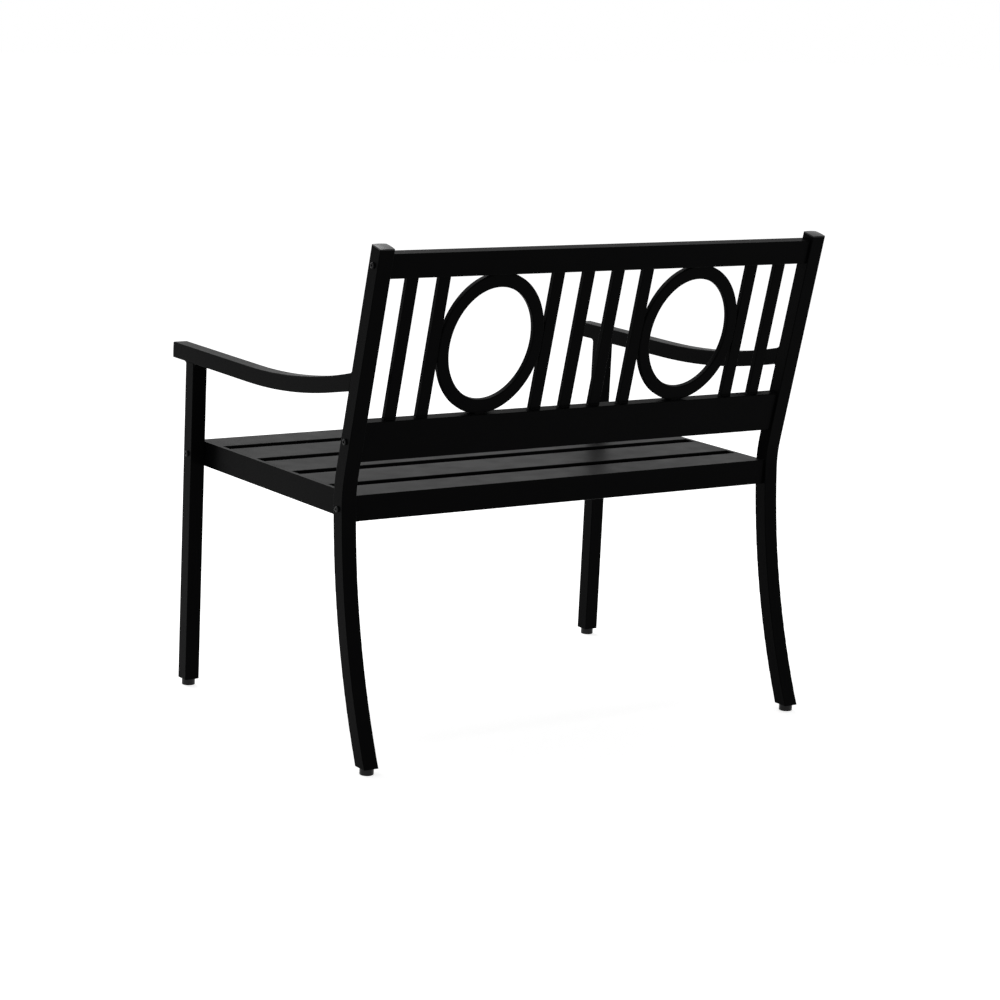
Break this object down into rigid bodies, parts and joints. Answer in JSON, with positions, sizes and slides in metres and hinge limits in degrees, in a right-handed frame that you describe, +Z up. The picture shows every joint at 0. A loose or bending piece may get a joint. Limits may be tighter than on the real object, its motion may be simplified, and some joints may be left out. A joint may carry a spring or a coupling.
{
  "type": "outdoor bench",
  "caption": "Two-seat outdoor bench of black coated steel tube with a slatted seat, slatted back with oval rings, sloping armrests and screw-in levelling glides.",
  "frame": {"origin": "middle of the bench's footprint, on the floor", "axes": "+Z up, +X along the seat towards the sitter's left, -Y the way the seat faces"},
  "size_m": [0.9366, 0.6918, 0.8749],
  "materials": {
    "black_powder_coat": "semi-gloss black powder coat with a fine orange peel",
    "black_plastic": "moulded black plastic, satin",
    "bolt_steel": "black-coated button-head bolts, a little brighter at the socket",
    "plain_steel": "zinc-plated steel"
  },
  "bodies": {
    "frame": {"front_leg_left": "black_powder_coat", "rear_post_left": "black_powder_coat", "armrest_left": "black_powder_coat", "front_leg_right": "black_powder_coat", "rear_post_right": "black_powder_coat", "armrest_right": "black_powder_coat", "seat_side_bar_left": "black_powder_coat", "seat_side_bar_right": "black_powder_coat", "seat_front_rail": "black_powder_coat", "seat_rear_rail": "black_powder_coat", "seat_slat_1": "black_powder_coat", "seat_slat_2": "black_powder_coat", "seat_slat_3": "black_powder_coat", "seat_center_brace": "black_powder_coat", "back_top_rail": "black_powder_coat", "back_bottom_rail": "black_powder_coat", "back_slat_1": "black_powder_coat", "back_slat_2": "black_powder_coat", "back_slat_3": "black_powder_coat", "back_slat_4": "black_powder_coat", "back_slat_5": "black_powder_coat", "back_slat_6": "black_powder_coat", "back_slat_7": "black_powder_coat", "back_slat_8": "black_powder_coat", "back_ring_left": "black_powder_coat", "back_ring_right": "black_powder_coat", "rail_end_blocks": "plain_steel", "seat_weld_nuts": "plain_steel", "frame_bolts": "bolt_steel", "post_cap_left": "black_plastic", "post_cap_right": "black_plastic", "armrest_end_cap_left": "black_plastic", "armrest_end_cap_right": "black_plastic", "leg_plug_front_left": "black_plastic", "leg_plug_front_right": "black_plastic", "leg_plug_rear_left": "black_plastic", "leg_plug_rear_right": "black_plastic"},
    "glide_front_left": {"glide_pad_front_left": "black_plastic", "glide_stud_front_left": "plain_steel"},
    "glide_front_right": {"glide_pad_front_right": "black_plastic", "glide_stud_front_right": "plain_steel"},
    "glide_rear_left": {"glide_pad_rear_left": "black_plastic", "glide_stud_rear_left": "plain_steel"},
    "glide_rear_right": {"glide_pad_rear_right": "black_plastic", "glide_stud_rear_right": "plain_steel"}
  },
  "joints": [
    {"name": "glide_front_left_height", "type": "slide", "parent": "frame", "child": "glide_front_left", "axis": [0, 0, -1], "range_m": [0, 0.008]},
    {"name": "glide_front_right_height", "type": "slide", "parent": "frame", "child": "glide_front_right", "axis": [0, 0, -1], "range_m": [0, 0.008]},
    {"name": "glide_rear_left_height", "type": "slide", "parent": "frame", "child": "glide_rear_left", "axis": [0, 0, -1], "range_m": [0, 0.008]},
    {"name": "glide_rear_right_height", "type": "slide", "parent": "frame", "child": "glide_rear_right", "axis": [0, 0, -1], "range_m": [0, 0.008]}
  ]
}
